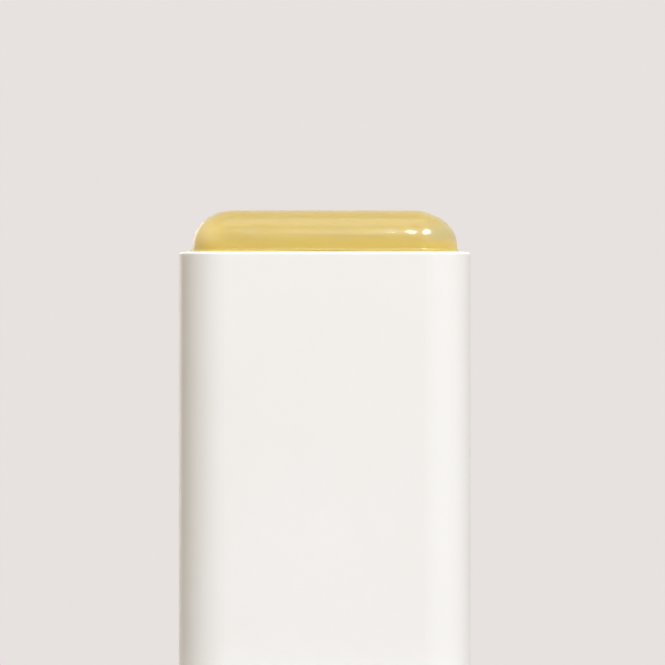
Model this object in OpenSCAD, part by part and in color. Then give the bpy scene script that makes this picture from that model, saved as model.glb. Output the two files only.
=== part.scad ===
// Flat twist-up sunscreen stick, cap off, standing on its base.
// Millimetres. +Z runs up the stick, X across its width and Y through its depth.
// The origin is on the standing plane, at the middle of the base.

/* [Barrel] */
// Width of the barrel across its flat front
barrel_w = 38; // [36:0.5:46]
// Depth of the barrel, front to back
barrel_d = 19; // [18:0.5:26]
// Radius of the barrel's four upright corners
barrel_corner_r = 6; // [5.6:0.1:8]
// Thickness of the barrel's wall
barrel_wall = 1; // [0.9:0.05:1.3]
// Height of the barrel above the base's top edge
barrel_rise = 56; // [52:0.5:80]
// Rounding of the mouth's outer edge
mouth_outer_round = 0.35; // [0.2:0.05:0.45]
// Rounding of the mouth's inner edge
mouth_inner_round = 0.2; // [0.1:0.05:0.3]
// Thickness of the deck that closes the barrel's lower end
deck_t = 1.4; // [1:0.1:2.2]
// Length of the bearing collar under the deck
collar_h = 2.2; // [1.4:0.1:4]
// Thickness of the bearing collar's wall
collar_wall = 1.7; // [1.2:0.1:2.2]

/* [Base shell] */
// Thickness of the base shell's wall, which is the step that the cap lands on
base_wall = 1.35; // [1.1:0.05:1.8]
// Length of barrel that the base shell grips
base_grip_h = 5.7; // [4.6:0.1:9]
// Thickness of the base shell's floor
floor_t = 1.3; // [1:0.1:2]
// Rounding of the base shell's bottom edge
base_bottom_round = 0.6; // [0.3:0.05:0.8]
// Rounding of the base shell's top edge
base_top_round = 0.35; // [0.2:0.05:0.5]
// Width of the finger notches in front and behind
notch_w = 17; // [16:0.5:19]
// Rounding of the notches' upper corners
notch_round = 1.2; // [0.6:0.1:2]
// Thickness of the ribs that carry the barrel
seat_rib_t = 1.2; // [0.8:0.1:2]
// Distance between the two seat ribs on each side
seat_rib_pitch = 6; // [4:0.5:7]

/* [Snap beads] */
// Radius of the half-round snap beads
bead_r = 0.5; // [0.4:0.05:0.55]
// How far a bead stands out of the barrel
bead_proud = 0.25; // [0.15:0.05:0.3]
// Length of the two cap beads, front and back
cap_bead_l = 9; // [5:0.5:14]
// Height of the cap beads above the base's top edge
cap_bead_z = 1.1; // [0.9:0.1:5]
// Length of the two catches that hold the base shell
catch_l = 4; // [2:0.5:5]
// Height of the catches above the barrel's lower end
catch_z = 2.8; // [2:0.1:3.4]

/* [Dial] */
// How far the dial stands out of the notches
dial_proud = 0.9; // [0.5:0.1:1.4]
// Height of the dial
dial_h = 7.6; // [6:0.2:10]
// Height of the dial's underside above the standing plane
dial_lift = 0.4; // [0.3:0.05:0.8]
// Thickness of the dial's rim under the grip teeth
dial_rim_t = 1.2; // [0.9:0.1:1.8]
// Thickness of the dial's closed underside
dial_web_t = 1.3; // [1:0.1:2]
// Number of grip teeth round the dial
dial_teeth = 72; // [48:2:96]
// Depth of the grip teeth
tooth_depth = 0.35; // [0.2:0.05:0.5]
// Chamfer on the dial's two outer edges
dial_chamfer = 0.5; // [0.4:0.05:0.8]
// Thickness of the dial's radial ribs
dial_rib_t = 0.9; // [0.7:0.1:1.4]
// Number of radial ribs inside the dial
dial_ribs = 6; // [4:1:8]
// Thickness of the hub's wall round the hexagonal socket
hub_wall = 1.7; // [1.3:0.1:2.2]
// Depth of the turning arrow sunk in the dial's underside
arrow_depth = 0.3; // [0.2:0.05:0.5]

/* [Screw] */
// Outer radius of the lifting thread
thread_r = 3; // [2.8:0.05:3.3]
// Depth of the lifting thread
thread_depth = 0.85; // [0.7:0.05:1]
// Rise of the balm for one turn of the dial
thread_lead = 3; // [2.6:0.1:3.6]
// Axial width of the thread's crest
thread_crest_w = 0.8; // [0.6:0.05:1]
// Axial width of the thread at its root
thread_root_w = 1.4; // [1.2:0.05:1.5]
// Radius of the journal that turns in the deck
journal_r = 3.4; // [3.3:0.05:3.8]
// Thickness of the screw's flange above the seal
flange_t = 1; // [0.8:0.1:1.6]
// Overhang of the flange past the journal
flange_lip = 2; // [1.6:0.1:2.4]
// Hexagonal tail's size across its flats
tail_af = 4.6; // [4:0.1:5.2]
// Thickness of the seal ring under the flange
seal_t = 0.7; // [0.5:0.1:1.2]
// Distance from the screw's tip down from the barrel's mouth
tip_below_mouth = 6.5; // [5:0.5:10]

/* [Holder] */
// Height of the holder's skirt
skirt_h = 6; // [5:0.5:9]
// Thickness of the holder's skirt
skirt_t = 0.9; // [0.7:0.05:1.2]
// Thickness of the holder's plate
plate_t = 1.2; // [1:0.1:2]
// Thickness of the nut's wall
nut_wall = 1.7; // [1.3:0.1:2.2]
// Height of the nut above the plate
nut_above = 5; // [3:0.5:7]
// Number of thread lugs inside the nut
nut_lugs = 5; // [3:1:5]
// Angle that one lug covers
lug_span = 56; // [40:2:64]
// Length of the ring wall that anchors the balm
anchor_l = 25; // [21:0.5:27]
// Width of the ring wall that anchors the balm
anchor_w = 11.6; // [11.4:0.1:13.4]
// Corner radius of the ring wall that anchors the balm
anchor_corner_r = 4; // [3:0.5:5]
// Thickness of the anchor wall and its fins
anchor_t = 1; // [0.8:0.1:1.4]
// Height of the anchor wall above the plate
anchor_h = 4; // [3:0.5:6]
// Width of the gaps through the anchor wall
anchor_gap = 4; // [2.5:0.5:5]
// Thickness of the ribs under the holder's plate
under_rib_t = 0.9; // [0.7:0.1:1.2]
// Height of the ribs under the holder's plate
under_rib_h = 3; // [2:0.5:4]

/* [Balm] */
// How far the balm's crown stands above the barrel's mouth
crown_h = 5.5; // [5.2:0.1:8]
// Radius of the crown's rounded top edge and corners
crown_r = 4.7; // [4:0.1:4.9]
// Width of the ledge between the bore's wall and the crown's side
crown_inset = 0.7; // [0.5:0.05:1]
// Radius of the small cove at the crown's foot
foot_r = 0.45; // [0.25:0.05:0.5]
// Height of the ledge above the barrel's mouth
ledge_h = 0.15; // [0.05:0.05:0.2]

/* [Clearances] */
// Gap between the base shell and the barrel
base_fit = 0.05; // [0.03:0.01:0.1]
// Gap between the balm and the bore, on each side
balm_gap = 0.1; // [0.06:0.01:0.15]
// Gap between the holder and the bore, on each side
holder_gap = 0.15; // [0.1:0.01:0.2]
// Gap round the journal in the deck
journal_gap = 0.05; // [0.03:0.01:0.09]
// End play of the dial and the screw
end_play = 0.1; // [0.05:0.01:0.2]
// Gap between the seal ring and the screw's flange
seal_gap = 0.05; // [0.03:0.01:0.1]
// Gap round the dial in the base shell's floor
dial_gap = 0.4; // [0.3:0.05:0.6]
// Gap above the dial at the notches' upper edge
notch_gap = 0.8; // [0.5:0.1:1]
// Gap under the holder's skirt at its lowest
holder_rest_gap = 0.3; // [0.2:0.05:0.5]
// Gap between the nut's lower end and the screw's flange
nut_rest_gap = 0.5; // [0.3:0.05:0.8]
// Gap between the thread's crest and the nut's bore
thread_top_gap = 0.25; // [0.2:0.05:0.35]
// Gap between the thread's flanks, on each side
thread_flank_gap = 0.18; // [0.15:0.01:0.25]
// Gap between the screw and the core in the balm
core_gap = 0.25; // [0.2:0.05:0.4]

/* [Hidden] */

// Colours of the plastics and the balm
WHITE_PP = [0.945, 0.933, 0.914];
NATURAL_PP = [0.9, 0.91, 0.9];
SEAL_GREY = [0.78, 0.79, 0.8];
BALM_YELLOW = [0.855, 0.757, 0.455];

// Steps of the thread's sweep and of the arrow
THREAD_STEPS = 20; // segments in one turn
RUN_OUT = 5; // segments over which the thread fades at each end
LUG_PITCH = 90; // angle from one lug of the nut to the next
SINK = 0.2; // how deep the edge of a plate, rib or lug is set in the wall that it joins
ARROW_SWEEP = 250; // degrees that the arrow's shaft covers
CUT = 1; // how far a cutting tool runs past what it cuts
$fn = 64;

// Corner centres, which the barrel, the base shell and the bore share
corner_x = barrel_w / 2 - barrel_corner_r;
corner_y = barrel_d / 2 - barrel_corner_r;
bore_r = barrel_corner_r - barrel_wall;
base_in_r = barrel_corner_r + base_fit;
base_out_r = base_in_r + base_wall;

// Heights from the standing plane, upwards
dial_top = dial_lift + dial_h;
collar_z = dial_top + end_play;
deck_z = collar_z + collar_h;
deck_top = deck_z + deck_t;
base_h = deck_z + base_grip_h;
mouth_z = base_h + barrel_rise;
crown_z = mouth_z + crown_h;
ledge_z = mouth_z + ledge_h;
flange_z = deck_top + seal_t + seal_gap;
flange_top = flange_z + flange_t;
screw_tip = mouth_z - tip_below_mouth;
holder_z = deck_top + holder_rest_gap;
plate_z = holder_z + skirt_h;
plate_top = plate_z + plate_t;
nut_z = flange_top + nut_rest_gap;
nut_top = plate_top + nut_above;

// Dial and screw
dial_r = barrel_d / 2 + base_fit + base_wall + dial_proud;
dial_in_r = dial_r - tooth_depth - dial_rim_t;
tail_r = tail_af / 2 / cos(30);
hub_r = tail_r + hub_wall;
tail_z = dial_lift + dial_web_t + end_play;
arrow_r = (dial_in_r + hub_r) / 2;
arrow_w = 1.1;
core_r = thread_r - thread_depth;
flange_r = journal_r + flange_lip;
thread_z0 = flange_top + thread_lead / 2;
thread_turns = (screw_tip - core_r / 2 - thread_root_w - thread_z0) / thread_lead;

// Nut and anchor
nut_bore_r = thread_r + thread_top_gap;
nut_r = nut_bore_r + nut_wall;
lug_z = thread_z0 + thread_lead / 2;
lug_tilt = atan(thread_lead / (2 * PI * (core_r + thread_depth / 2)));

// A rounded rectangle whose corner centres lie at plus and minus cx and cy
module rounded(cx, cy, r) {
    square([2 * (cx + r), 2 * cy], center = true);
    square([2 * cx, 2 * (cy + r)], center = true);
    for (sx = [-1, 1], sy = [-1, 1])
        translate([sx * cx, sy * cy]) circle(r);
}

// A plate of that outline between two heights
module slab(cx, cy, r, z0, z1) {
    translate([0, 0, z0]) linear_extrude(z1 - z0) rounded(cx, cy, r);
}

// Sweeps a wall section round the same outline. The section's x is the
// distance out from the corner centres, and its y is the height.
module around(cx, cy) {
    for (side = [0 : 3]) {
        run = side % 2 == 0 ? cx : cy;
        reach = side % 2 == 0 ? cy : cx;
        rotate([0, 0, 90 * side]) {
            translate([-run, reach, 0]) rotate([90, 0, 90]) linear_extrude(2 * run) children();
            translate([run, reach, 0]) rotate_extrude(angle = 90) children();
        }
    }
}

// The sliver between a square corner and its rounding, for cutting. The
// rounding's centre is at the origin and the corner points to plus x, plus y.
module corner_cut(r) {
    difference() {
        square(r + CUT);
        circle(r);
        translate([-CUT, r]) square([CUT, 2 * CUT]);
        translate([r, -CUT]) square([2 * CUT, CUT]);
    }
}

// A wall section with a rounded outer and inner top edge
module wall_section(r_in, r_out, z0, z1, outer_round, inner_round) {
    difference() {
        translate([r_in, z0]) square([r_out - r_in, z1 - z0]);
        translate([r_out - outer_round, z1 - outer_round]) corner_cut(outer_round);
        translate([r_in + inner_round, z1 - inner_round]) mirror([1, 0]) corner_cut(inner_round);
    }
}

// A half-round bead of length l on a wall whose outer face is at reach,
// with round ends. Extra makes it larger, for the groove that takes it.
module bead(reach, l, extra = 0) {
    r = bead_r + extra;
    translate([0, reach + bead_proud - bead_r, 0]) {
        rotate([0, 90, 0]) cylinder(h = l, r = r, center = true);
        for (s = [-1, 1]) translate([s * l / 2, 0, 0]) sphere(r);
    }
}

// The pair of beads, front and back, or the pair at the two sides
module cap_beads() {
    for (a = [0, 180]) rotate([0, 0, a])
        translate([0, 0, base_h + cap_bead_z]) bead(barrel_d / 2, cap_bead_l);
}

module catches(extra = 0) {
    for (a = [90, 270]) rotate([0, 0, a])
        translate([0, 0, deck_z + catch_z]) bead(barrel_w / 2, catch_l, extra);
}

// Height of the thread's crest over its core, as a share, at step i of n
function fade(i, n) = min(1, i / RUN_OUT, (n - i) / RUN_OUT);

function on_core(a, z) = [core_r * cos(a), core_r * sin(a), z];

// The threaded rod as one closed solid, from a flat foot to a chamfered tip.
// Each step has four points: the lower root, the two crests and the upper
// root. The core between two turns joins one upper root to the lower root a
// turn above it. The thread is left-handed, so the angle falls as it climbs.
module threaded_rod(foot_z, tip_z) {
    n = THREAD_STEPS;
    last = round(thread_turns * n);
    turn = -360 / n;
    rise = thread_lead / n;
    thread = [
        for (i = [0 : last])
            let (a = turn * i, z = thread_z0 + rise * i, r = core_r + thread_depth * fade(i, last))
            each [
                on_core(a, z - thread_root_w / 2),
                [r * cos(a), r * sin(a), z - thread_crest_w / 2],
                [r * cos(a), r * sin(a), z + thread_crest_w / 2],
                on_core(a, z + thread_root_w / 2)
            ]
    ];
    foot = [for (j = [0 : n - 1]) on_core(turn * j, foot_z)];
    neck = [for (j = [0 : n - 1]) on_core(turn * (last + j), tip_z - core_r / 2)];
    tip = [for (p = neck) [p[0] / 2, p[1] / 2, tip_z]];

    // Where each list starts among the points
    f0 = 4 * (last + 1);
    k0 = f0 + n;
    t0 = k0 + n;

    // The flanks and the crest, then the core between turns
    ridge = [
        for (i = [0 : last - 1], k = [0 : 2])
            let (p = 4 * i + k)
            each [[p, p + 4, p + 1], [p + 1, p + 4, p + 5]]
    ];
    core = [
        for (i = [0 : last - n - 1])
            let (p = 4 * i + 3, q = 4 * (i + n))
            each [[p, p + 4, q], [q, p + 4, q + 4]]
    ];
    // The foot's wall, and its last panel, which meets the thread's start
    low = [
        for (j = [0 : n - 2])
            each [[f0 + j, f0 + j + 1, 4 * j], [4 * j, f0 + j + 1, 4 * j + 4]]
    ];
    low_seam = 4 * (n - 1);
    low_edge = [f0, 0, 1, 2, 3, 4 * n];
    low_end = concat(
        [[f0 + n - 1, f0, low_seam]],
        [for (k = [0 : 4]) [low_edge[k], low_edge[k + 1], low_seam]]
    );
    // The neck's wall, and its first panel, which meets the thread's end
    high = [
        for (j = [1 : n - 1])
            let (p = 4 * (last - n + j) + 3)
            each [[p, p + 4, k0 + j], [k0 + j, p + 4, k0 + (j + 1) % n]]
    ];
    high_seam = 4 * (last - n + 1) + 3;
    top = 4 * last;
    high_edge = [4 * (last - n) + 3, top, top + 1, top + 2, top + 3, k0];
    high_end = concat(
        [for (k = [0 : 4]) [high_edge[k], high_seam, high_edge[k + 1]]],
        [[k0, high_seam, k0 + 1]]
    );
    cone = [
        for (j = [0 : n - 1])
            let (m = (j + 1) % n)
            each [[k0 + j, k0 + m, t0 + j], [t0 + j, k0 + m, t0 + m]]
    ];
    polyhedron(
        points = concat(thread, foot, neck, tip),
        faces = concat(ridge, core, low, low_end, high, high_end, cone,
            [[for (j = [n - 1 : -1 : 0]) f0 + j], [for (j = [0 : n - 1]) t0 + j]])
    );
}

module barrel() {
    color(WHITE_PP) difference() {
        union() {
            around(corner_x, corner_y)
                wall_section(bore_r, barrel_corner_r, deck_z, mouth_z, mouth_outer_round, mouth_inner_round);
            slab(corner_x, corner_y, bore_r + SINK, deck_z, deck_top);
            translate([0, 0, collar_z])
                cylinder(h = collar_h, r = journal_r + journal_gap + collar_wall);
            cap_beads();
            catches();
        }
        translate([0, 0, collar_z - CUT])
            cylinder(h = deck_top - collar_z + 2 * CUT, r = journal_r + journal_gap);
    }
}

// The upright section of the base shell's wall
module base_section() {
    difference() {
        wall_section(base_in_r, base_out_r, 0, base_h, base_top_round, 0.1);
        translate([base_out_r - base_bottom_round, base_bottom_round])
            mirror([0, 1]) corner_cut(base_bottom_round);
    }
}

// One finger notch, as a cutting tool that runs in from the front
module notch_tool() {
    top = dial_top + notch_gap;
    half = notch_w / 2 - notch_round;
    translate([0, -base_out_r - corner_y - CUT, 0]) rotate([-90, 0, 0])
        linear_extrude(base_out_r + corner_y + CUT) mirror([0, 1]) {
            translate([-notch_w / 2, -CUT]) square([notch_w, top + CUT - notch_round]);
            translate([-half, 0]) square([2 * half, top]);
            for (s = [-1, 1]) translate([s * half, top - notch_round]) circle(notch_round);
        }
}

module seat_ribs() {
    rib_x = dial_r + dial_gap;
    rib_l = corner_x + base_in_r + SINK - rib_x;
    for (a = [0, 180], s = [-1, 1]) rotate([0, 0, a])
        translate([rib_x, (s * seat_rib_pitch - seat_rib_t) / 2, floor_t - SINK])
            cube([rib_l, seat_rib_t, deck_z - floor_t + SINK]);
}

module base_shell() {
    color(WHITE_PP) difference() {
        union() {
            around(corner_x, corner_y) base_section();
            slab(corner_x, corner_y, base_in_r + SINK, 0, floor_t);
            seat_ribs();
        }
        translate([0, 0, -CUT]) cylinder(h = floor_t + 2 * CUT, r = dial_r + dial_gap);
        for (a = [0, 180]) rotate([0, 0, a]) notch_tool();
        catches(base_fit);
    }
}

// The grip teeth as a star-shaped outline
module tooth_outline() {
    polygon([
        for (i = [0 : 2 * dial_teeth - 1])
            let (a = 180 * i / dial_teeth, r = i % 2 == 0 ? dial_r : dial_r - tooth_depth)
            [r * cos(a), r * sin(a)]
    ]);
}

// A disc with both outer edges chamfered, which trims the teeth
module chamfered_disc() {
    rotate_extrude() polygon([
        [0, 0], [dial_r - dial_chamfer, 0], [dial_r + tooth_depth, dial_chamfer + tooth_depth],
        [dial_r + tooth_depth, dial_h - dial_chamfer - tooth_depth],
        [dial_r - dial_chamfer, dial_h], [0, dial_h]
    ]);
}

// A curved arrow that points the way that raises the balm, seen from below
module arrow() {
    head = 2.4 * arrow_w;
    rotate_extrude(angle = ARROW_SWEEP)
        translate([arrow_r - arrow_w / 2, 0]) square([arrow_w, arrow_depth + CUT]);
    rotate([0, 0, ARROW_SWEEP]) linear_extrude(arrow_depth + CUT)
        polygon([[arrow_r - head / 2, 0], [arrow_r + head / 2, 0], [arrow_r, head]]);
}

module dial() {
    color(WHITE_PP) translate([0, 0, dial_lift]) difference() {
        union() {
            difference() {
                intersection() {
                    linear_extrude(dial_h) tooth_outline();
                    chamfered_disc();
                }
                translate([0, 0, dial_web_t]) cylinder(h = dial_h, r = dial_in_r);
            }
            cylinder(h = dial_h, r = hub_r);
            for (i = [0 : dial_ribs - 1]) rotate([0, 0, 360 * i / dial_ribs])
                translate([hub_r / 2, -dial_rib_t / 2, dial_web_t / 2])
                    cube([dial_in_r + dial_rim_t / 2 - hub_r / 2, dial_rib_t, dial_h - dial_web_t]);
        }
        translate([0, 0, dial_web_t]) cylinder(h = dial_h, r = tail_r, $fn = 6);
        translate([0, 0, -CUT]) arrow();
    }
}

module screw() {
    color(NATURAL_PP) {
        translate([0, 0, tail_z]) cylinder(h = collar_z - tail_z + SINK, r = tail_r, $fn = 6);
        rotate_extrude() polygon([
            [0, collar_z], [journal_r, collar_z], [journal_r, flange_z], [flange_r, flange_z],
            [flange_r, flange_top], [0, flange_top]
        ]);
        threaded_rod(flange_top - SINK, screw_tip);
    }
}

module seal_ring() {
    color(SEAL_GREY) translate([0, 0, deck_top]) difference() {
        cylinder(h = seal_t, r = flange_r - end_play);
        translate([0, 0, -CUT]) cylinder(h = seal_t + 2 * CUT, r = journal_r + journal_gap);
    }
}

// The ring wall, its fins and the nut's upper part, which the balm is cast round
module anchor() {
    cx = anchor_l / 2 - anchor_corner_r;
    cy = anchor_w / 2 - anchor_corner_r;
    fin_l = anchor_l / 2 - anchor_t / 2 - nut_bore_r - nut_wall / 2;
    difference() {
        slab(cx, cy, anchor_corner_r, plate_top, plate_top + anchor_h);
        slab(cx, cy, anchor_corner_r - anchor_t, plate_top - CUT, plate_top + anchor_h + CUT);
        for (s = [-1, 1])
            translate([s * (nut_r + anchor_l / 2) / 2 - anchor_gap / 2, -anchor_w, plate_top + anchor_h / 4])
                cube([anchor_gap, 2 * anchor_w, anchor_h]);
    }
    for (a = [0, 180]) rotate([0, 0, a])
        translate([nut_bore_r + nut_wall / 2, -anchor_t / 2, plate_top])
            cube([fin_l, anchor_t, anchor_h * 3 / 4]);
    translate([0, 0, plate_top]) cylinder(h = nut_above, r = nut_r);
}

// One lug of the nut, which follows the groove of the screw's thread
module lug() {
    in_half = (thread_lead - thread_root_w) / 2 - thread_flank_gap;
    out_half = (thread_lead - thread_crest_w) / 2 - thread_flank_gap;
    rotate([-lug_tilt, 0, 0]) rotate([0, 0, -lug_span / 2])
        rotate_extrude(angle = lug_span) polygon([
            [core_r + thread_top_gap, -in_half], [nut_bore_r, -out_half],
            [nut_bore_r + SINK, -out_half], [nut_bore_r + SINK, out_half],
            [nut_bore_r, out_half], [core_r + thread_top_gap, in_half]
        ]);
}

module under_ribs() {
    reach = corner_y + bore_r - holder_gap - skirt_t / 2;
    for (s = [-1, 1])
        translate([s * (nut_r + corner_x) / 2 - under_rib_t / 2, -reach, plate_z - under_rib_h])
            cube([under_rib_t, 2 * reach, under_rib_h + plate_t / 2]);
}

module holder() {
    r = bore_r - holder_gap;
    color(NATURAL_PP) {
        difference() {
            union() {
                around(corner_x, corner_y)
                    translate([r - skirt_t, holder_z]) square([skirt_t, skirt_h + plate_t]);
                slab(corner_x, corner_y, r - skirt_t + SINK, plate_z, plate_top);
                under_ribs();
                translate([0, 0, nut_z]) cylinder(h = plate_top - nut_z, r = nut_r);
                anchor();
            }
            translate([0, 0, nut_z - CUT]) cylinder(h = nut_top - nut_z + 2 * CUT, r = nut_bore_r);
        }
        for (i = [0 : nut_lugs - 1])
            rotate([0, 0, -LUG_PITCH * i])
                translate([0, 0, lug_z + thread_lead * LUG_PITCH * i / 360]) lug();
    }
}

// The crown's rounded edge: a quarter circle, and the cove at its foot
module crown_section() {
    low = crown_z - crown_r;
    intersection() {
        translate([0, low]) circle(crown_r);
        translate([0, low]) square([crown_r, crown_r]);
    }
    translate([0, ledge_z - CUT]) square([crown_r, low - ledge_z + CUT]);
}

module foot_section() {
    difference() {
        translate([crown_r, ledge_z - CUT]) square([foot_r, foot_r + CUT]);
        translate([crown_r + foot_r, ledge_z + foot_r]) circle(foot_r);
    }
}

module balm() {
    cx = corner_x + bore_r - balm_gap - crown_inset - crown_r;
    cy = corner_y + bore_r - balm_gap - crown_inset - crown_r;
    color(BALM_YELLOW) difference() {
        union() {
            slab(corner_x, corner_y, bore_r - balm_gap, plate_top, ledge_z);
            around(cx, cy) crown_section();
            translate([-cx, -cy, ledge_z - CUT]) cube([2 * cx, 2 * cy, crown_z - ledge_z + CUT]);
            around(cx, cy) foot_section();
        }
        anchor();
        translate([0, 0, plate_top - CUT])
            cylinder(h = screw_tip + core_gap - plate_top + CUT, r = thread_r + core_gap);
    }
}

barrel();
base_shell();
dial();
screw();
seal_ring();
holder();
balm();
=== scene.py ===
# %% [markdown]
# # A twist-up sunscreen stick
# This lesson dresses a finished CAD model of a flat sunscreen stick: a white plastic barrel with a crown of pale
# yellow balm standing out of it. The solids come in as a fixed frame. Blender adds the camera, the light, the
# finish of each material, and a finer model of the balm, which is soft and never quite as even as its drawing.

# %% Bring in the frame
import math

import bmesh
import bpy
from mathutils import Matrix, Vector


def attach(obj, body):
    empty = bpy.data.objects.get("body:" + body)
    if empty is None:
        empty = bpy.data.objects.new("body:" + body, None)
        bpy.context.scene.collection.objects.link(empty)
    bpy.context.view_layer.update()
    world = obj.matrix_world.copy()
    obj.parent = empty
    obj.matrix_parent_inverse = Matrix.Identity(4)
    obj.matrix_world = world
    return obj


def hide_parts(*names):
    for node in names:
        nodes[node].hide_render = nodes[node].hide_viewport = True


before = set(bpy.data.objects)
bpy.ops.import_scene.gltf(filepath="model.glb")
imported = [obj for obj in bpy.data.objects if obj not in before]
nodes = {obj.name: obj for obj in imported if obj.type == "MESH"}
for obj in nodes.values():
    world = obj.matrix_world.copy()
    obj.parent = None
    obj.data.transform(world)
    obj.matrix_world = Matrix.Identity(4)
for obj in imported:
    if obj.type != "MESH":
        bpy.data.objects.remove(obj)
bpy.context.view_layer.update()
MM = 0.001
print("nodes:", sorted(nodes))

# %% [markdown]
# ## Camera
# The upright edges in a picture stay parallel only if the camera looks level, and the mouth's edge shows as one
# straight line only if the camera is far away. A short lens from close by would also fill the frame, but it would
# bend both. So this camera stands well back with a long lens. How many pixels the barrel spans sets the lens, and
# where the mouth's line falls in the picture sets the height.

# %% Camera
BARREL_W = 38 * MM
MOUTH_Z = 72 * MM
PICTURE = 665
BARREL_SPAN = 290.5
BARREL_MIDDLE = 324.75
MOUTH_LINE = 252.5
CAMERA_BACK = 0.9
SENSOR = 36.0

pixel = BARREL_W / BARREL_SPAN
camera_data = bpy.data.cameras.new("camera")
camera = bpy.data.objects.new("camera", camera_data)
bpy.context.collection.objects.link(camera)
camera.location = (
    (PICTURE / 2 - BARREL_MIDDLE) * pixel,
    -CAMERA_BACK,
    MOUTH_Z - (PICTURE / 2 - MOUTH_LINE) * pixel,
)
camera.rotation_euler = (math.radians(90), 0, 0)
camera_data.sensor_width = SENSOR
camera_data.lens = SENSOR * CAMERA_BACK / (PICTURE * pixel)
camera_data.clip_start, camera_data.clip_end = 0.05, 20
camera_data.dof.use_dof = False
bpy.context.scene.camera = camera
print("one pixel is", round(pixel / MM, 4), "mm; lens", round(camera_data.lens), "mm")

# %% [markdown]
# ## Nodes, and the world
# Materials, lamps and the world are all small webs of nodes. One helper adds a node and wires it in the same line,
# which keeps every web below readable from top to bottom.
#
# The world is a pale studio, and it has two colours. Rays from the camera, and rays that a gloss or a clear surface
# sends out, meet the warm grey of the backdrop. All other rays meet an ambient light whose strength is set by
# itself, so that a brighter or darker backdrop never changes how the pack is lit.


# %% World
def put(tree, kind, links=(), **settings):
    """Adds a node, sets its options, and for each (input, what) links a socket or sets a value."""
    made = tree.nodes.new("ShaderNode" + kind)
    for name, value in settings.items():
        setattr(made, name, value)
    for where, what in links:
        if isinstance(what, bpy.types.NodeSocket):
            tree.links.new(what, made.inputs[where])
        else:
            made.inputs[where].default_value = what
    return made


def seen_rays(tree):
    """1 for a ray from the camera, from a glossy surface or through a clear one, and 0 for any other."""
    rays = put(tree, "LightPath")
    looks = put(tree, "Math", [(0, rays.outputs["Is Camera Ray"]), (1, rays.outputs["Is Glossy Ray"])],
                operation="ADD")
    both = put(tree, "Math", [(0, looks.outputs[0]), (1, rays.outputs["Is Transmission Ray"])],
               operation="ADD", use_clamp=True)
    return both.outputs[0]


BACKDROP = (0.7991, 0.7605, 0.7379)
AMBIENT = (1.0, 0.865, 0.65)
AMBIENT_STRENGTH = 0.345

bpy.context.scene.view_settings.view_transform = "Standard"
world = bpy.data.worlds.new("studio")
bpy.context.scene.world = world
world.use_nodes = True
sky = world.node_tree
sky.nodes.clear()
backdrop = put(sky, "Background", [("Color", (*BACKDROP, 1))])
ambient = put(sky, "Background", [("Color", (*AMBIENT, 1)), ("Strength", AMBIENT_STRENGTH)])
either = put(sky, "MixShader", [(0, seen_rays(sky)), (1, ambient.outputs[0]), (2, backdrop.outputs[0])])
put(sky, "OutputWorld", [(0, either.outputs[0])])
print("world:", len(sky.nodes), "nodes, ambient strength", AMBIENT_STRENGTH)

# %% [markdown]
# ## Lamps
# A key lamp, wider than it is tall, stands high on the right and makes the one crisp highlight on the balm's corner.
# Everything else is soft fill. Each lamp is placed by the direction it comes from, which is how one thinks about
# light. A fill lamp that would show as a second bright patch in the balm is kept out of reflections with
# visible_glossy. A small lamp under the open floor lights only the underside, so that the dial can be seen from below.

# %% Lamps
DAYLIGHT = (0.95, 1.01, 1.12)
WARM = (1.08, 1.0, 0.86)
AIM_Z = 60 * MM


def lamp(name, azimuth, elevation, distance, across, power, shines=True, colour=DAYLIGHT):
    """An oval area lamp that looks at the crown. Azimuth 0 is in front, and grows to the right."""
    data = bpy.data.lights.new(name, "AREA")
    data.shape, data.energy, data.color = "ELLIPSE", power, colour
    data.size, data.size_y = across
    made = bpy.data.objects.new(name, data)
    bpy.context.collection.objects.link(made)
    a, e = math.radians(azimuth), math.radians(elevation)
    way = Vector((math.sin(a) * math.cos(e), -math.cos(a) * math.cos(e), math.sin(e)))
    made.location = Vector((0, 0, AIM_Z)) + way * distance
    made.rotation_euler = way.to_track_quat("Z", "Y").to_euler()
    made.visible_glossy = shines
    print("lamp", name, power, "W from", [round(c, 2) for c in made.location])


lamp("key", 24, 48, 1.2, (0.55, 0.33), 9.5)
lamp("soft_front", 18, 24, 1.8, (1.6, 1.6), 9.4, shines=False)
lamp("side_fill", 70, 15, 1.6, (0.9, 0.9), 2.0, shines=False)
lamp("edge", -150, 10, 1.4, (0.7, 0.7), 1.2, colour=WARM)
lamp("overhead", 0, 86, 1.6, (0.9, 0.9), 2.6)
lamp("high_left", -65, 75, 1.6, (0.9, 0.9), 5.0, shines=False, colour=WARM)
lamp("back_fill", 190, 35, 1.8, (1.2, 1.2), 18.0, shines=False)
lamp("under_light", 0, -90, 1.0, (0.12, 0.12), 5.0, shines=False)

# %% [markdown]
# ## Floor
# The pack stands on a round sheet that is a little wider than its shadow. The sheet has an opening just inside the
# pack's own outline, where the light from below comes in. It is two outlines with the same number of points, a
# circle and a rounded rectangle, and Bridge Edge Loops fills the ring between them.

# %% Floor sheet
FLOOR_R = 0.26
FLOOR_Z = -0.02 * MM
OPENING_HALF = (20.1 * MM, 10.6 * MM)
OPENING_R = 7.1 * MM
ROUND_POINTS = 96

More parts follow.
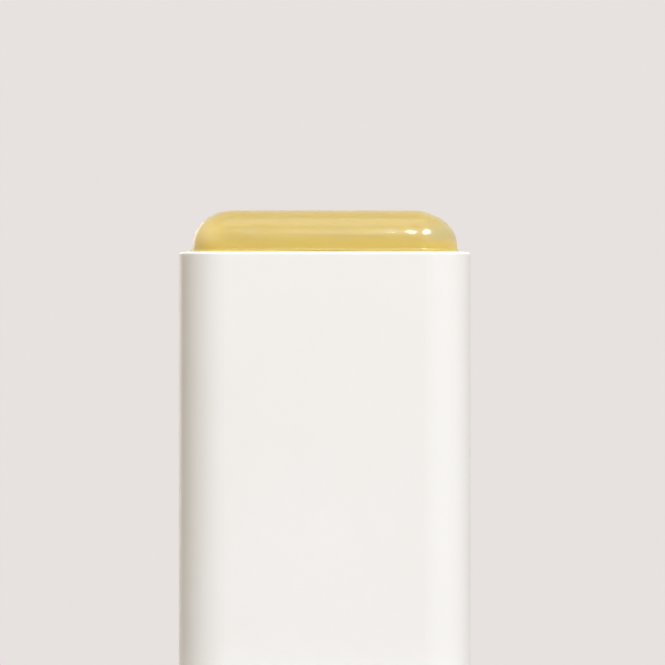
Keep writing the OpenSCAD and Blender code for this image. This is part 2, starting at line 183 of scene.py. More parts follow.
bpy.ops.object.select_all(action="DESELECT")
bpy.ops.mesh.primitive_circle_add(vertices=ROUND_POINTS, radius=FLOOR_R, fill_type="NOTHING", location=(0, 0, FLOOR_Z))
floor = bpy.context.object
floor.name = "floor"
bpy.ops.object.transform_apply(location=True, rotation=True, scale=True)
bpy.ops.mesh.primitive_plane_add(size=2, location=(0, 0, FLOOR_Z))
opening = bpy.context.object
opening.scale = (*OPENING_HALF, 1)
bpy.ops.object.transform_apply(location=True, rotation=True, scale=True)
bpy.ops.object.mode_set(mode="EDIT")
bpy.ops.mesh.bevel(
    offset=OPENING_R, offset_type="OFFSET", segments=ROUND_POINTS // 4 - 1, profile=0.5, affect="VERTICES"
)
bpy.ops.mesh.delete(type="ONLY_FACE")
bpy.ops.object.mode_set(mode="OBJECT")
floor.select_set(True)
bpy.context.view_layer.objects.active = floor
bpy.ops.object.join()
bpy.ops.object.mode_set(mode="EDIT")
bpy.ops.mesh.select_all(action="SELECT")
bpy.ops.mesh.bridge_edge_loops()
bpy.ops.mesh.select_all(action="SELECT")
bpy.ops.mesh.normals_make_consistent(inside=False)
bpy.ops.object.mode_set(mode="OBJECT")
if floor.data.polygons[0].normal.z < 0:
    floor.data.flip_normals()
print("floor:", len(floor.data.polygons), "faces, all facing up:", all(p.normal.z > 0.9 for p in floor.data.polygons))

# %% [markdown]
# The sheet is matt paper. Its colour fades into the backdrop towards the rim, so that no edge or horizon shows from
# any side, and its back is clear, for a look from below. The camera and glossy surfaces see pale paper, but the
# light that it throws back on the pack is that of a greyer sheet, because a white floor this close would light the
# barrel from below.

# %% Floor paper
PAPER_AS_LIGHT = (0.34, 0.33, 0.32, 1)
PAPER_AS_SEEN = (0.68, 0.645, 0.625, 1)
FADE_FROM, FADE_TO = 0.05, FLOOR_R * 0.97

floor_finish = bpy.data.materials.new("floor_paper")
floor_finish.use_nodes = True
net = floor_finish.node_tree
paper = net.nodes["Principled BSDF"]
shade = put(net, "Mix", [(0, seen_rays(net)), (6, PAPER_AS_LIGHT), (7, PAPER_AS_SEEN)],
            data_type="RGBA")
net.links.new(shade.outputs[2], paper.inputs["Base Color"])
paper.inputs["Roughness"].default_value = 0.9
paper.inputs["Specular IOR Level"].default_value = 0.1
reach = put(net, "VectorMath", [(0, put(net, "TexCoord").outputs["Object"])], operation="LENGTH")
fade = put(net, "MapRange", [("Value", reach.outputs["Value"]), ("From Min", FADE_FROM), ("From Max", FADE_TO)],
           interpolation_type="SMOOTHERSTEP")
back = put(net, "NewGeometry").outputs["Backfacing"]
clear_share = put(net, "Math", [(0, fade.outputs[0]), (1, back)], operation="MAXIMUM")
clear = put(net, "BsdfTransparent")
sheet = put(net, "MixShader", [(0, clear_share.outputs[0]), (1, paper.outputs[0]), (2, clear.outputs[0])])
net.links.new(sheet.outputs[0], net.nodes["Material Output"].inputs["Surface"])
floor.data.materials.append(floor_finish)
print(floor_finish.name, "has", len(net.nodes), "nodes")

# %% [markdown]
# ## The crown of the balm
# Sunscreen balm is poured hot and sets as a waxy block. A mould gives its top the crown: flat, with a broad rounded
# edge and ball-shaped corners. A subdivision cage could come close, but its corners are never quite round. A box
# whose edges are bevelled by one equal width is exact, because three such bevels that meet make a piece of a ball.


# %% A block with ball corners
SAME = 1e-6  # points closer than this, in metres, count as level


def rounded_block(name, half, low, high, radius, steps, top_too):
    """A box with its upright edges bevelled, and the edges round its top too if asked."""
    bpy.ops.object.select_all(action="DESELECT")
    bpy.ops.mesh.primitive_cube_add(size=2, location=(0, 0, (low + high) / 2))
    block = bpy.context.object
    block.name = name
    block.scale = (half[0], half[1], (high - low) / 2)
    bpy.ops.object.transform_apply(location=True, rotation=True, scale=True)
    bpy.context.tool_settings.mesh_select_mode = (False, True, False)
    bpy.ops.object.mode_set(mode="EDIT")
    bpy.ops.mesh.select_all(action="DESELECT")
    shape = bmesh.from_edit_mesh(block.data)
    for edge in shape.edges:
        one, two = (v.co for v in edge.verts)
        upright = abs(one.z - two.z) > SAME
        on_top = min(one.z, two.z) > high - SAME
        edge.select = upright or (top_too and on_top)
    shape.select_flush_mode()
    bmesh.update_edit_mesh(block.data)
    bpy.ops.mesh.bevel(offset=radius, offset_type="OFFSET", segments=steps, profile=0.5, affect="EDGES")
    bpy.ops.object.mode_set(mode="OBJECT")
    print(name, "in mm:", [round(d / MM, 2) for d in block.dimensions], "with", len(block.data.polygons), "faces")
    return block


CROWN_Z = 77.5 * MM
LEDGE_Z = 72.15 * MM
CROWN_HALF = (17.2 * MM, 7.7 * MM)
CROWN_R = 4.7 * MM
CROWN_SINK = 2 * MM
crown_low = LEDGE_Z - CROWN_SINK
crown = rounded_block("crown", CROWN_HALF, crown_low, CROWN_Z, CROWN_R, 24, True)

# %% [markdown]
# The long flat sides of that block are single faces, and a single face can't bend. Bisecting the whole mesh at even
# steps gives them points to bend at, without changing the shape. Subdividing would work too, but it would also
# cut up the corners, which are fine enough already.


# %% Slices, so that it can bend
def slice_up(block, axis, start, stop, step):
    """Cuts the whole mesh across, at even steps along one axis."""
    bpy.ops.object.select_all(action="DESELECT")
    bpy.context.view_layer.objects.active = block
    block.select_set(True)
    bpy.ops.object.mode_set(mode="EDIT")
    place, normal = [0.0, 0.0, 0.0], [0.0, 0.0, 0.0]
    normal[axis] = 1.0
    for i in range(round((stop - start) / step) + 1):
        place[axis] = start + i * step
        bpy.ops.mesh.select_all(action="SELECT")
        bpy.ops.mesh.bisect(plane_co=place, plane_no=normal, threshold=1e-7)
    bpy.ops.object.mode_set(mode="OBJECT")


slice_up(crown, 0, -16 * MM, 16 * MM, 0.5 * MM)
slice_up(crown, 1, -7 * MM, 7 * MM, 0.7 * MM)
print("crown after slicing:", len(crown.data.polygons), "faces")

# %% [markdown]
# The crown isn't a perfect block. Its long sides are a little fuller in the middle, as wax sets last there, its left
# end stands out a little more, and both ends draw in towards the top. A lattice is the gentlest way to bend a mesh:
# its few points are moved, and everything between them follows smoothly. Moving the mesh's own points by hand would
# leave small bumps that a glossy surface shows at once.

# %% Swell and drawn-in ends
SWELL = 0.22 * MM
DRAW_LEFT, DRAW_RIGHT, DRAW_DEPTH = 0.03, 0.075, 0.02
CROWN_SHIFT = 0.08 * MM
FULLER_LEFT = 0.15 * MM

bpy.ops.object.select_all(action="DESELECT")
bpy.ops.object.add(type="LATTICE", location=(0, 0, (crown_low + CROWN_Z) / 2))
cage = bpy.context.object
cage.scale = (2 * CROWN_HALF[0], 2 * CROWN_HALF[1], CROWN_Z - crown_low)
cage.data.points_u, cage.data.points_v, cage.data.points_w = 5, 3, 8
cage.data.interpolation_type_w = "KEY_CARDINAL"
for point in cage.data.points:
    at = point.co.copy()
    height = crown_low + (at.z + 0.5) * (CROWN_Z - crown_low)
    up = max(0.0, (height - (CROWN_Z - CROWN_R)) / CROWN_R) ** 3
    draw, fuller = (DRAW_RIGHT, 0.0) if at.x > 0 else (DRAW_LEFT, 2 * FULLER_LEFT / cage.scale[0])
    swell = 1 + 2 * SWELL / cage.scale[1] * (1 - (2 * at.x) ** 2)
    point.co_deform.x = at.x * (1 - draw * up + fuller) + CROWN_SHIFT / cage.scale[0]
    point.co_deform.y = at.y * swell * (1 - DRAW_DEPTH * up)
bpy.context.view_layer.objects.active = crown
bend = crown.modifiers.new("bend", "LATTICE")
bend.object = cage
bpy.ops.object.modifier_apply(modifier=bend.name)
bpy.data.objects.remove(cage, do_unlink=True)
ends = [round(pick(v.co.x for v in crown.data.vertices) / MM, 2) for pick in (min, max)]
print("crown from", ends[0], "to", ends[1], "mm; half depth", round(max(v.co.y for v in crown.data.vertices) / MM, 2))

# %% [markdown]
# A few very shallow dents, where the crown was touched while it was soft, break up the highlight near its corner.
# Proportional editing is how one would press them in by hand: one point is moved, and those round it follow. The
# skin is cut a little finer where the highlight falls, because a reflection shows each flat spot.

# %% Dents in the crown
DENTS = (  # x and z on the front (-1) or back (1) face, how far the dent reaches, and its depth, in mm
    (11.9, 74.8, 1.8, 0.045, -1),
    (9.3, 74.8, 1.4, 0.014, -1),
    (-8.4, 74.8, 1.6, 0.04, -1),
    (3.5, 75.9, 2.0, 0.03, -1),
    (-11.6, 74.2, 1.2, 0.05, 1),
    (5.0, 75.0, 1.8, 0.04, 1),
)
slice_up(crown, 0, 8.25 * MM, 14 * MM, 0.25 * MM)
bpy.ops.object.select_all(action="DESELECT")
bpy.context.view_layer.objects.active = crown
crown.select_set(True)
bpy.context.tool_settings.mesh_select_mode = (True, False, False)
bpy.ops.object.mode_set(mode="EDIT")
for x, z, dent_reach, depth, side in DENTS:
    bpy.ops.mesh.select_all(action="DESELECT")
    shape = bmesh.from_edit_mesh(crown.data)
    face = [v for v in shape.verts if v.co.y * side > 0]
    middle = min(face, key=lambda v: abs(v.co.x - x * MM) + abs(v.co.z - z * MM))
    middle.select = True
    shape.select_flush_mode()
    bmesh.update_edit_mesh(crown.data)
    bpy.ops.transform.translate(
        value=(0, -side * depth * MM, 0), use_proportional_edit=True, proportional_edit_falloff="SMOOTH",
        proportional_size=dent_reach * MM
    )
bpy.ops.object.mode_set(mode="OBJECT")
print("dents:", len(DENTS), "; crown now has", len(crown.data.polygons), "faces")

# %% [markdown]
# ## The body of the balm
# Below the crown the balm fills the barrel, with the barrel's own rounded outline, down to the plate of the holder
# that lifts it. It is a second block, with only its upright edges bevelled. A boolean union joins the two, so that
# the finished balm is one closed skin, as a casting is.


# %% Body, and the two joined
def apply_boolean(target, tool, operation):
    """Joins or cuts, then deletes the tool."""
    bpy.ops.object.select_all(action="DESELECT")
    bpy.context.view_layer.objects.active = target
    target.select_set(True)
    step = target.modifiers.new(operation.lower(), "BOOLEAN")
    step.operation, step.solver, step.object = operation, "EXACT", tool
    bpy.ops.object.modifier_apply(modifier=step.name)
    bpy.data.objects.remove(tool, do_unlink=True)


PLATE_TOP_Z = 19.2 * MM
BODY_HALF = (17.9 * MM, 8.4 * MM)
BODY_R = 4.9 * MM
balm = rounded_block("balm_stick", BODY_HALF, PLATE_TOP_Z, LEDGE_Z, BODY_R, 14, False)
apply_boolean(balm, crown, "UNION")
print("balm after joining:", len(balm.data.polygons), "faces")

# %% [markdown]
# Where the crown's side meets the ledge there is a small hollow curve, and the ledge's outer edge is worn a little
# round. Both are bevels. What differs is which edges are picked: those of an inside corner are the ones that aren't
# convex, so the code can tell the two rings apart without knowing where each point is.

# %% Cove, and the rounded ledge
COVE_R = 0.45 * MM
LEDGE_EDGE = 0.15 * MM


def edges_on_ledge(mesh, inside_corner):
    """Selects the edges at the ledge's height that are an inside corner, or an outside one."""
    shape = bmesh.from_edit_mesh(mesh)
    picked = 0
    for edge in shape.edges:
        level = all(abs(v.co.z - LEDGE_Z) < SAME for v in edge.verts)
        flat = len(edge.link_faces) == 2 and edge.calc_face_angle(0) < 0.1
        edge.select_set(level and not flat and edge.is_convex != inside_corner)
        picked += edge.select
    shape.select_flush_mode()
    bmesh.update_edit_mesh(mesh)
    return picked


bpy.ops.object.select_all(action="DESELECT")
bpy.context.view_layer.objects.active = balm
balm.select_set(True)
bpy.ops.object.mode_set(mode="EDIT")
bpy.context.tool_settings.mesh_select_mode = (False, True, False)
print("edges of the cove:", edges_on_ledge(balm.data, True))
bpy.ops.mesh.bevel(offset=COVE_R, segments=5, profile=0.5, affect="EDGES")
print("edges of the ledge's rim:", edges_on_ledge(balm.data, False))
bpy.ops.mesh.bevel(offset=LEDGE_EDGE, segments=3, profile=0.5, affect="EDGES")
bpy.ops.object.mode_set(mode="OBJECT")

# %% [markdown]
# The ledge leans by a fraction of a degree, because the pack wasn't quite level while the balm set. Only the ledge's
# points are selected and turned about its middle. Without a window the turn goes the other way round, so its sign
# is reversed, and the print shows which end came out higher.

# %% A ledge that leans
LEAN = 0.3
NEAR_END = 17.6 * MM

bpy.ops.object.mode_set(mode="EDIT")
bpy.context.tool_settings.mesh_select_mode = (True, False, False)
bpy.ops.mesh.select_all(action="DESELECT")
shape = bmesh.from_edit_mesh(balm.data)
for vertex in shape.verts:
    x, y, z = abs(vertex.co.x), abs(vertex.co.y), vertex.co.z
    outside = x > CROWN_HALF[0] + COVE_R / 2 or y > CROWN_HALF[1] + COVE_R / 2
    vertex.select_set(outside and LEDGE_Z - 0.3 * MM < z < LEDGE_Z + 0.1 * MM)
shape.select_flush_mode()
bmesh.update_edit_mesh(balm.data)
bpy.ops.transform.rotate(
    value=-math.radians(LEAN), orient_axis="Y", orient_type="GLOBAL", center_override=(0, 0, LEDGE_Z)
)
bpy.ops.object.mode_set(mode="OBJECT")
left = max(v.co.z for v in balm.data.vertices if v.co.x < -NEAR_END)
right = max(v.co.z for v in balm.data.vertices if v.co.x > NEAR_END)
print("ledge above the mouth in mm: left", round((left - MOUTH_Z) / MM, 3), "right", round((right - MOUTH_Z) / MM, 3))

# %% [markdown]
# Set wax is never optically flat. A bump in the material would do for a picture, but the slow waves show in the
# outline too, so they are real shape: two layers of displacement by a smooth cloud. They are far smaller than the
# gap round the balm, so it still slides in its barrel.

# %% Unevenness
slice_up(balm, 2, PLATE_TOP_Z + 3 * MM, LEDGE_Z - 3 * MM, 3 * MM)


def displace(piece, name, size, height, group=""):
    """Moves the skin in and out by a smooth cloud, over the whole piece or one group of its points."""
    clouds = bpy.data.textures.new(name, "CLOUDS")
    clouds.noise_scale, clouds.noise_depth = size, 0
    step = piece.modifiers.new(name, "DISPLACE")
    step.texture, step.texture_coords = clouds, "LOCAL"
    step.strength, step.mid_level, step.vertex_group = height, 0.5, group
    bpy.ops.object.modifier_apply(modifier=step.name)


crown_group = balm.vertex_groups.new(name="crown")
crown_group.add([v.index for v in balm.data.vertices if v.co.z > LEDGE_Z + 0.3 * MM], 1.0, "REPLACE")
bpy.context.view_layer.objects.active = balm
displace(balm, "slow_swell", 9 * MM, 0.08 * MM)
displace(balm, "crown_dimples", 4.5 * MM, 0.03 * MM, "crown")
side = max(abs(v.co.x) for v in balm.data.vertices)
print("balm half width in mm:", round(side / MM, 3), "in a bore of 18")

# %% [markdown]
# The balm is cast round the holder that lifts it. A copy of the holder cuts its own shape out of the balm, so the
# two touch without sharing any space. The copy's loose triangles are merged first, because a boolean needs a closed
# skin, and the holder itself is left alone.

# %% Cut the holder's shape
cast = nodes["holder"].copy()
cast.data = nodes["holder"].data.copy()
bpy.context.collection.objects.link(cast)
cast.parent = None
bpy.ops.object.select_all(action="DESELECT")
bpy.context.view_layer.objects.active = cast
cast.select_set(True)
bpy.ops.object.mode_set(mode="EDIT")
bpy.ops.mesh.select_all(action="SELECT")
bpy.ops.mesh.remove_doubles(threshold=SAME)
bpy.ops.object.mode_set(mode="OBJECT")
apply_boolean(balm, cast, "DIFFERENCE")
print("balm round its holder:", len(balm.data.polygons), "faces")

# %% [markdown]
# The screw turns in a clear core up the middle of the balm. On the line, a pin keeps that space free while the balm
# is poured. Here a plain round bar cuts it. Smooth shading comes last: it is by angle, so the crown looks round
# while the crisp edges of the cuts stay crisp.

# %% Cut the core, and shade smooth
CORE_R = 3.25 * MM
CORE_TOP_Z = 65.75 * MM
SMOOTH_ANGLE = 40

bpy.ops.object.select_all(action="DESELECT")
core_low = PLATE_TOP_Z - 5 * MM
bpy.ops.mesh.primitive_cylinder_add(
    vertices=64, radius=CORE_R, depth=CORE_TOP_Z - core_low, location=(0, 0, (CORE_TOP_Z + core_low) / 2)
)
core = bpy.context.object
bpy.ops.object.transform_apply(location=True, rotation=True, scale=True)
apply_boolean(balm, core, "DIFFERENCE")
bpy.ops.object.select_all(action="DESELECT")
bpy.context.view_layer.objects.active = balm
balm.select_set(True)
bpy.ops.object.shade_smooth_by_angle(angle=math.radians(SMOOTH_ANGLE))
print("finished balm:", len(balm.data.polygons), "faces")

# %% [markdown]
# ## Finishes
# Three effects turn up in more than one material, so each is a node group that is built once: a skin that is a
# little uneven, a tone that drifts slowly, and the faint marks that handling leaves. Each material places them with
# its own sizes. All patterns are laid out in millimetres on the real piece, so their scale is easy to judge.
#
# The first is the skin. Moulded plastic sinks a little between its walls, and wax shrinks as it sets. One slow noise
# and one fine noise are added and read as a height by a Bump node. Each has its own size and its own depth.


# %% Skin that is a little uneven
def start_group(name, inputs, outputs):
    """inputs: name, socket type and value. outputs: name and socket type."""
    tree = bpy.data.node_groups.new(name, "ShaderNodeTree")
    for label, kind, value in inputs:
        socket = tree.interface.new_socket(label, in_out="INPUT", socket_type="NodeSocket" + kind)
        socket.default_value = value
    for label, kind in outputs:
        tree.interface.new_socket(label, in_out="OUTPUT", socket_type="NodeSocket" + kind)
    print("group", name, "takes", [label for label, _, _ in inputs], "and gives", [label for label, _ in outputs])
    return tree, tree.nodes.new("NodeGroupInput"), tree.nodes.new("NodeGroupOutput")


def millimetres(tree, stretch=None):
    """The place on the piece, in millimetres, or stretched by a vector."""
    place = put(tree, "TexCoord")
    scaled = put(tree, "VectorMath", [(0, place.outputs["Object"]), (1, (1000, 1000, 1000))], operation="MULTIPLY")
    if stretch is None:
        return scaled.outputs[0]
    return put(tree, "VectorMath", [(0, scaled.outputs[0]), (1, stretch)], operation="DIVIDE").outputs[0]


skin, given, out = start_group(
    "uneven_skin",
    [("Size", "Vector", (4, 4, 4)), ("Depth", "Float", 0.02), ("Grain Size", "Float", 0.3),
     ("Grain Depth", "Float", 0.001)],
    [("Normal", "Vector")],
)
slow = put(skin, "TexNoise", [("Vector", millimetres(skin, given.outputs["Size"])), ("Scale", 1.0), ("Detail", 1.5)])
fine_at = put(skin, "Math", [(0, 1.0), (1, given.outputs["Grain Size"])], operation="DIVIDE")
fine = put(skin, "TexNoise", [("Vector", millimetres(skin)), ("Scale", fine_at.outputs[0]), ("Detail", 2.0)])
slow_m = put(skin, "Math", [(0, given.outputs["Depth"]), (1, MM)], operation="MULTIPLY")
fine_m = put(skin, "Math", [(0, given.outputs["Grain Depth"]), (1, MM)], operation="MULTIPLY")
slow_h = put(skin, "Math", [(0, slow.outputs[0]), (1, slow_m.outputs[0])], operation="MULTIPLY")
fine_h = put(skin, "Math", [(0, fine.outputs[0]), (1, fine_m.outputs[0]), (2, slow_h.outputs[0])],
             operation="MULTIPLY_ADD")
bump = put(skin, "Bump", [("Height", fine_h.outputs[0]), ("Strength", 1.0), ("Distance", 1.0)])
skin.links.new(bump.outputs[0], out.inputs[0])

# %% [markdown]
# Nothing real has exactly one colour. Pigment is never spread quite evenly, and old plastic yellows in patches. The
# second group drifts between two close tones by a slow noise. The two are so close that nobody sees a pattern, only
# that the surface isn't painted.

# %% Tone that drifts
drift, given, out = start_group(
    "tone_drift",
    [("Size", "Float", 12.0), ("One", "Color", (1, 1, 1, 1)), ("Other", "Color", (0.9, 0.9, 0.9, 1))],
    [("Color", "Color")],
)
drift_at = put(drift, "Math", [(0, 1.0), (1, given.outputs["Size"])], operation="DIVIDE")
cloud = put(drift, "TexNoise", [("Vector", millimetres(drift)), ("Scale", drift_at.outputs[0]), ("Detail", 3.0)])
wide = put(drift, "MapRange", [("Value", cloud.outputs[0]), ("From Min", 0.3), ("From Max", 0.7)])
mixed = put(drift, "Mix", [(0, wide.outputs[0]), (6, given.outputs["One"]), (7, given.outputs["Other"])],
            data_type="RGBA")
drift.links.new(mixed.outputs[2], out.inputs[0])

# %% [markdown]
# Fingers leave places that are a little duller than the rest. The third group is a mask: a rough noise, cut off so
# that only its highest parts count. Share says how much of the surface they cover. The materials use the mask for
# their roughness, never for their colour, because such marks show only where light glances off.

# %% Marks of handling
MARKS_TOP, MARKS_FADE = 0.72, 0.22

marks, given, out = start_group(
    "handling_marks",
    [("Size", "Float", 3.0), ("Share", "Float", 0.3), ("Stretch", "Vector", (1, 1, 1))],
    [("Mask", "Float")],
)
marks_at = put(marks, "Math", [(0, 1.0), (1, given.outputs["Size"])], operation="DIVIDE")
blot = put(marks, "TexNoise", [("Vector", millimetres(marks, given.outputs["Stretch"])),
                               ("Scale", marks_at.outputs[0]), ("Detail", 5.0), ("Roughness", 0.65)])
low = put(marks, "Math", [(0, MARKS_TOP), (1, given.outputs["Share"])], operation="SUBTRACT")
high = put(marks, "Math", [(0, low.outputs[0]), (1, MARKS_FADE)], operation="ADD")
mask = put(marks, "MapRange", [("Value", blot.outputs[0]), ("From Min", low.outputs[0]),
                               ("From Max", high.outputs[0])])
marks.links.new(mask.outputs[0], out.inputs[0])

# %% [markdown]
# ### White barrel plastic
# The barrel, its base and the dial are polypropylene with white pigment: warm white, satin, and a very little
# translucent. Subsurface scattering over less than a millimetre gives that. A plain diffuse white would look like
# painted metal. The top of the lip at the mouth is painted paler: a painted highlight for the light its rounded edge
# catches.


# %% White plastic
LIP_HIGHLIGHT_H = 0.4 * MM
LIP_PAINTED_HIGHLIGHT = (0.94, 0.925, 0.9, 1)


def new_finish(name):
    """A material, its node tree and its Principled shader."""
    finish = bpy.data.materials.new(name)
    finish.use_nodes = True
    return finish, finish.node_tree, finish.node_tree.nodes["Principled BSDF"]


def place_group(tree, group, **values):
    """Adds a node group and sets its inputs; an underscore stands for a space in an input's name."""
    made = tree.nodes.new("ShaderNodeGroup")
    made.node_tree = group
    for label, value in values.items():
        made.inputs[label.replace("_", " ")].default_value = value
    return made


def set_shader(shader, **values):
    """Sets numbers on the shader's own sockets."""
    for label, value in values.items():
        shader.inputs[label.replace("_", " ")].default_value = value


white, net, shader = new_finish("white_polypropylene")
set_shader(shader, IOR=1.49, Subsurface_Weight=0.12, Subsurface_Radius=(1.0, 0.9, 0.75), Subsurface_Scale=0.0007)
tone = place_group(net, drift, Size=26.0, One=(0.885, 0.862, 0.825, 1), Other=(0.868, 0.842, 0.800, 1))
height = put(net, "SeparateXYZ", [(0, put(net, "TexCoord").outputs["Object"])])
# The lip's top 0.4 mm is painted paler, a painted highlight for the light that the rounded mouth edge catches.
lip = put(net, "MapRange", [("Value", height.outputs["Z"]), ("From Min", MOUTH_Z - LIP_HIGHLIGHT_H), ("From Max", MOUTH_Z)])
pale = put(net, "Mix", [(0, lip.outputs[0]), (6, tone.outputs[0]), (7, LIP_PAINTED_HIGHLIGHT)], data_type="RGBA")
mark = place_group(net, marks, Size=5.0, Share=0.18, Stretch=(1, 1, 2.5))
rough = put(net, "MapRange", [("Value", mark.outputs[0]), ("To Min", 0.29), ("To Max", 0.37)])
surface = place_group(net, skin, Size=(14, 14, 30), Depth=0.05, Grain_Size=0.25, Grain_Depth=0.0012)
net.links.new(pale.outputs[2], shader.inputs["Base Color"])
net.links.new(rough.outputs[0], shader.inputs["Roughness"])
net.links.new(surface.outputs[0], shader.inputs["Normal"])
print(white.name, "has", len(net.nodes), "nodes")

# %% [markdown]
# ### Plastic without pigment
# The holder and the screw are the same plastic with nothing added, so they look milky: light goes in deeper. The
# same groups serve, with smaller sizes, because these parts are small.

# %% Milky plastic
milky, net, shader = new_finish("milky_polypropylene")
set_shader(shader, IOR=1.49, Subsurface_Weight=0.6, Subsurface_Radius=(1.0, 1.0, 0.95), Subsurface_Scale=0.0015)
tone = place_group(net, drift, Size=8.0, One=(0.80, 0.82, 0.80, 1), Other=(0.74, 0.76, 0.74, 1))
mark = place_group(net, marks, Size=2.0, Share=0.2)
rough = put(net, "MapRange", [("Value", mark.outputs[0]), ("To Min", 0.32), ("To Max", 0.5)])
surface = place_group(net, skin, Size=(5, 5, 5), Depth=0.01, Grain_Size=0.2, Grain_Depth=0.001)
net.links.new(tone.outputs[0], shader.inputs["Base Color"])
net.links.new(rough.outputs[0], shader.inputs["Roughness"])
net.links.new(surface.outputs[0], shader.inputs["Normal"])
print(milky.name, "has", len(net.nodes), "nodes")

# %% [markdown]
# ### Foam of the seal
# The seal round the screw is a ring of soft grey foam. Foam is dull all over, and its cells are what one sees: a
# fine grain that is deep for its size.

# %% Seal foam
foam, net, shader = new_finish("seal_foam")
set_shader(shader, IOR=1.45, Roughness=0.75)
tone = place_group(net, drift, Size=0.8, One=(0.58, 0.59, 0.6, 1), Other=(0.5, 0.51, 0.52, 1))
surface = place_group(net, skin, Size=(1, 1, 1), Depth=0.01, Grain_Size=0.12, Grain_Depth=0.02)
net.links.new(tone.outputs[0], shader.inputs["Base Color"])
net.links.new(surface.outputs[0], shader.inputs["Normal"])
print(foam.name, "has", len(net.nodes), "nodes")

# %% [markdown]
# ### Colour of the balm
# Balm is waxy and translucent: light goes in and comes out a few millimetres away, red furthest and blue least,
# which is why it glows yellow. Subsurface scattering does this. On the crown, light and shade are painted into its
# colour: the left end is painted lighter and the foot brighter and deeper, which is painted light, and the right end
# and the top are painted darker, which is painted shade. The body inside the barrel is richer, as it has never met
# light or air. Each is blended in by height or by side.

# %% Balm colour
# The left end and the foot carry painted light, and the right end and the top carry painted shade.
LEFT_END_PAINTED_LIGHT = (0.74, 0.59, 0.225, 1)
RIGHT_END_PAINTED_SHADE = (0.495, 0.41, 0.182, 1)
TOP_PAINTED_SHADE = (0.465, 0.35, 0.092, 1)
FOOT_PAINTED_LIGHT = (0.70, 0.52, 0.112, 1)
IN_BARREL = (0.64, 0.475, 0.14, 1)


def blend_towards(tree, value, start, stop, colour, towards):
    """Goes over from a colour to another while a value runs from start to stop."""
    share = put(tree, "MapRange", [("Value", value), ("From Min", start), ("From Max", stop)],
                interpolation_type="SMOOTHSTEP")
    return put(tree, "Mix", [(0, share.outputs[0]), (6, colour), (7, towards)], data_type="RGBA").outputs[2]


waxy, net, shader = new_finish("yellow_balm")
set_shader(shader, IOR=1.45, Subsurface_Weight=0.95, Subsurface_Radius=(1.0, 0.8, 0.35), Subsurface_Scale=0.0055)
tone = place_group(net, drift, Size=6.0, One=(0.568, 0.435, 0.120, 1), Other=(0.543, 0.416, 0.112, 1))
along = put(net, "SeparateXYZ", [(0, put(net, "TexCoord").outputs["Object"])])
across, up = along.outputs["X"], along.outputs["Z"]
ball_x = CROWN_HALF[0] - CROWN_R
# The left end is painted lighter and the right end darker: painted light and painted shade for how the lamps fall on
# each end.
colour = blend_towards(net, across, -ball_x + 0.5 * MM, -ball_x - 3.0 * MM, tone.outputs[0], LEFT_END_PAINTED_LIGHT)
colour = blend_towards(net, across, ball_x - 0.4 * MM, ball_x + 2.0 * MM, colour, RIGHT_END_PAINTED_SHADE)
# The top is painted darker, painted shade against the light from above. The foot is painted brighter and deeper,
# painted light for the light that scatters down through the wax.
colour = blend_towards(net, up, CROWN_Z - 3 * MM, CROWN_Z, colour, TOP_PAINTED_SHADE)
colour = blend_towards(net, up, LEDGE_Z + 2.2 * MM, LEDGE_Z, colour, FOOT_PAINTED_LIGHT)
colour = blend_towards(net, up, LEDGE_Z - 0.5 * MM, LEDGE_Z - 8 * MM, colour, IN_BARREL)
net.links.new(colour, shader.inputs["Base Color"])
print(waxy.name, "colours drift over", len(net.nodes), "nodes; ball corners start at", round(ball_x / MM, 2), "mm")

# %% [markdown]
# ### Gloss of the balm
# The balm looks wet, because a film of its oils lies on it: a thin clear coat over a slightly rougher wax. It is
# duller in the cove, where nothing ever rubs it. Its surface has three kinds of relief: the slow waves of the skin
# group, fine level lines where it was drawn over skin, and on the body upright scrapes from sliding in the barrel.
# The lines are noise stretched in one direction, which is the simplest way to make a brushed or drawn surface.

# %% Balm gloss
DRAWN_SIZE, DRAWN_DEPTH = (5.0, 1.5, 0.24), 0.006 * MM
SCRAPE_SIZE, SCRAPE_DEPTH = (0.35, 0.35, 12.0), 0.010 * MM

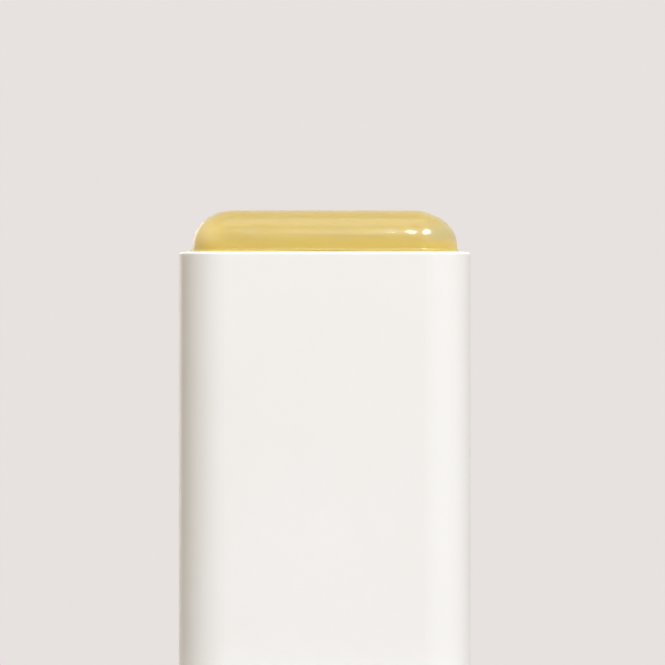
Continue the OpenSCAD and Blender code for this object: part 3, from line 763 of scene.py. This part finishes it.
set_shader(shader, Coat_Weight=0.55, Coat_Roughness=0.07, Coat_IOR=1.5)
mark = place_group(net, marks, Size=1.6, Share=0.3, Stretch=(3.0, 1, 1))
rough = put(net, "MapRange", [("Value", mark.outputs[0]), ("To Min", 0.28), ("To Max", 0.33)])
cove = put(net, "MapRange", [("Value", up), ("From Min", LEDGE_Z + 1.0 * MM), ("From Max", LEDGE_Z + 0.4 * MM),
                             ("To Max", 0.2)])
rough_all = put(net, "Math", [(0, rough.outputs[0]), (1, cove.outputs[0])], operation="ADD")
net.links.new(rough_all.outputs[0], shader.inputs["Roughness"])

drawn = put(net, "TexNoise", [("Vector", millimetres(net, DRAWN_SIZE)), ("Scale", 1.0), ("Detail", 2.0)])
scrape = put(net, "TexNoise", [("Vector", millimetres(net, SCRAPE_SIZE)), ("Scale", 1.0), ("Detail", 2.0)])
inside = put(net, "MapRange", [("Value", up), ("From Min", LEDGE_Z), ("From Max", LEDGE_Z - 2 * MM),
                               ("To Max", SCRAPE_DEPTH)])
scrape_h = put(net, "Math", [(0, scrape.outputs[0]), (1, inside.outputs[0])], operation="MULTIPLY")
lines_h = put(net, "Math", [(0, drawn.outputs[0]), (1, DRAWN_DEPTH), (2, scrape_h.outputs[0])],
              operation="MULTIPLY_ADD")
waves = place_group(net, skin, Size=(5.0, 2.0, 0.8), Depth=0.03, Grain_Size=0.35, Grain_Depth=0.003)
lines = put(net, "Bump", [("Height", lines_h.outputs[0]), ("Strength", 1.0), ("Distance", 1.0),
                          ("Normal", waves.outputs[0])])
net.links.new(lines.outputs[0], shader.inputs["Normal"])
print(waxy.name, "has", len(net.nodes), "nodes")

# %% [markdown]
# ## Who wears what
# A CAD node whose shape is right stays, and gets its finish through its material slots. The balm is the one piece
# that is new: it rides with the carrier, as the drawing's balm does, and stands in its place.

# %% Give every piece its finish
FINISH = {"barrel": white, "base_shell": white, "dial": white, "screw": milky, "holder": milky, "seal_ring": foam}
for name, finish in FINISH.items():
    for slot in nodes[name].material_slots:
        slot.material = finish
    print(name, "is", finish.name)
balm.data.materials.clear()
balm.data.materials.append(waxy)
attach(balm, "carrier")
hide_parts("balm")
print(balm.name, "is", waxy.name)
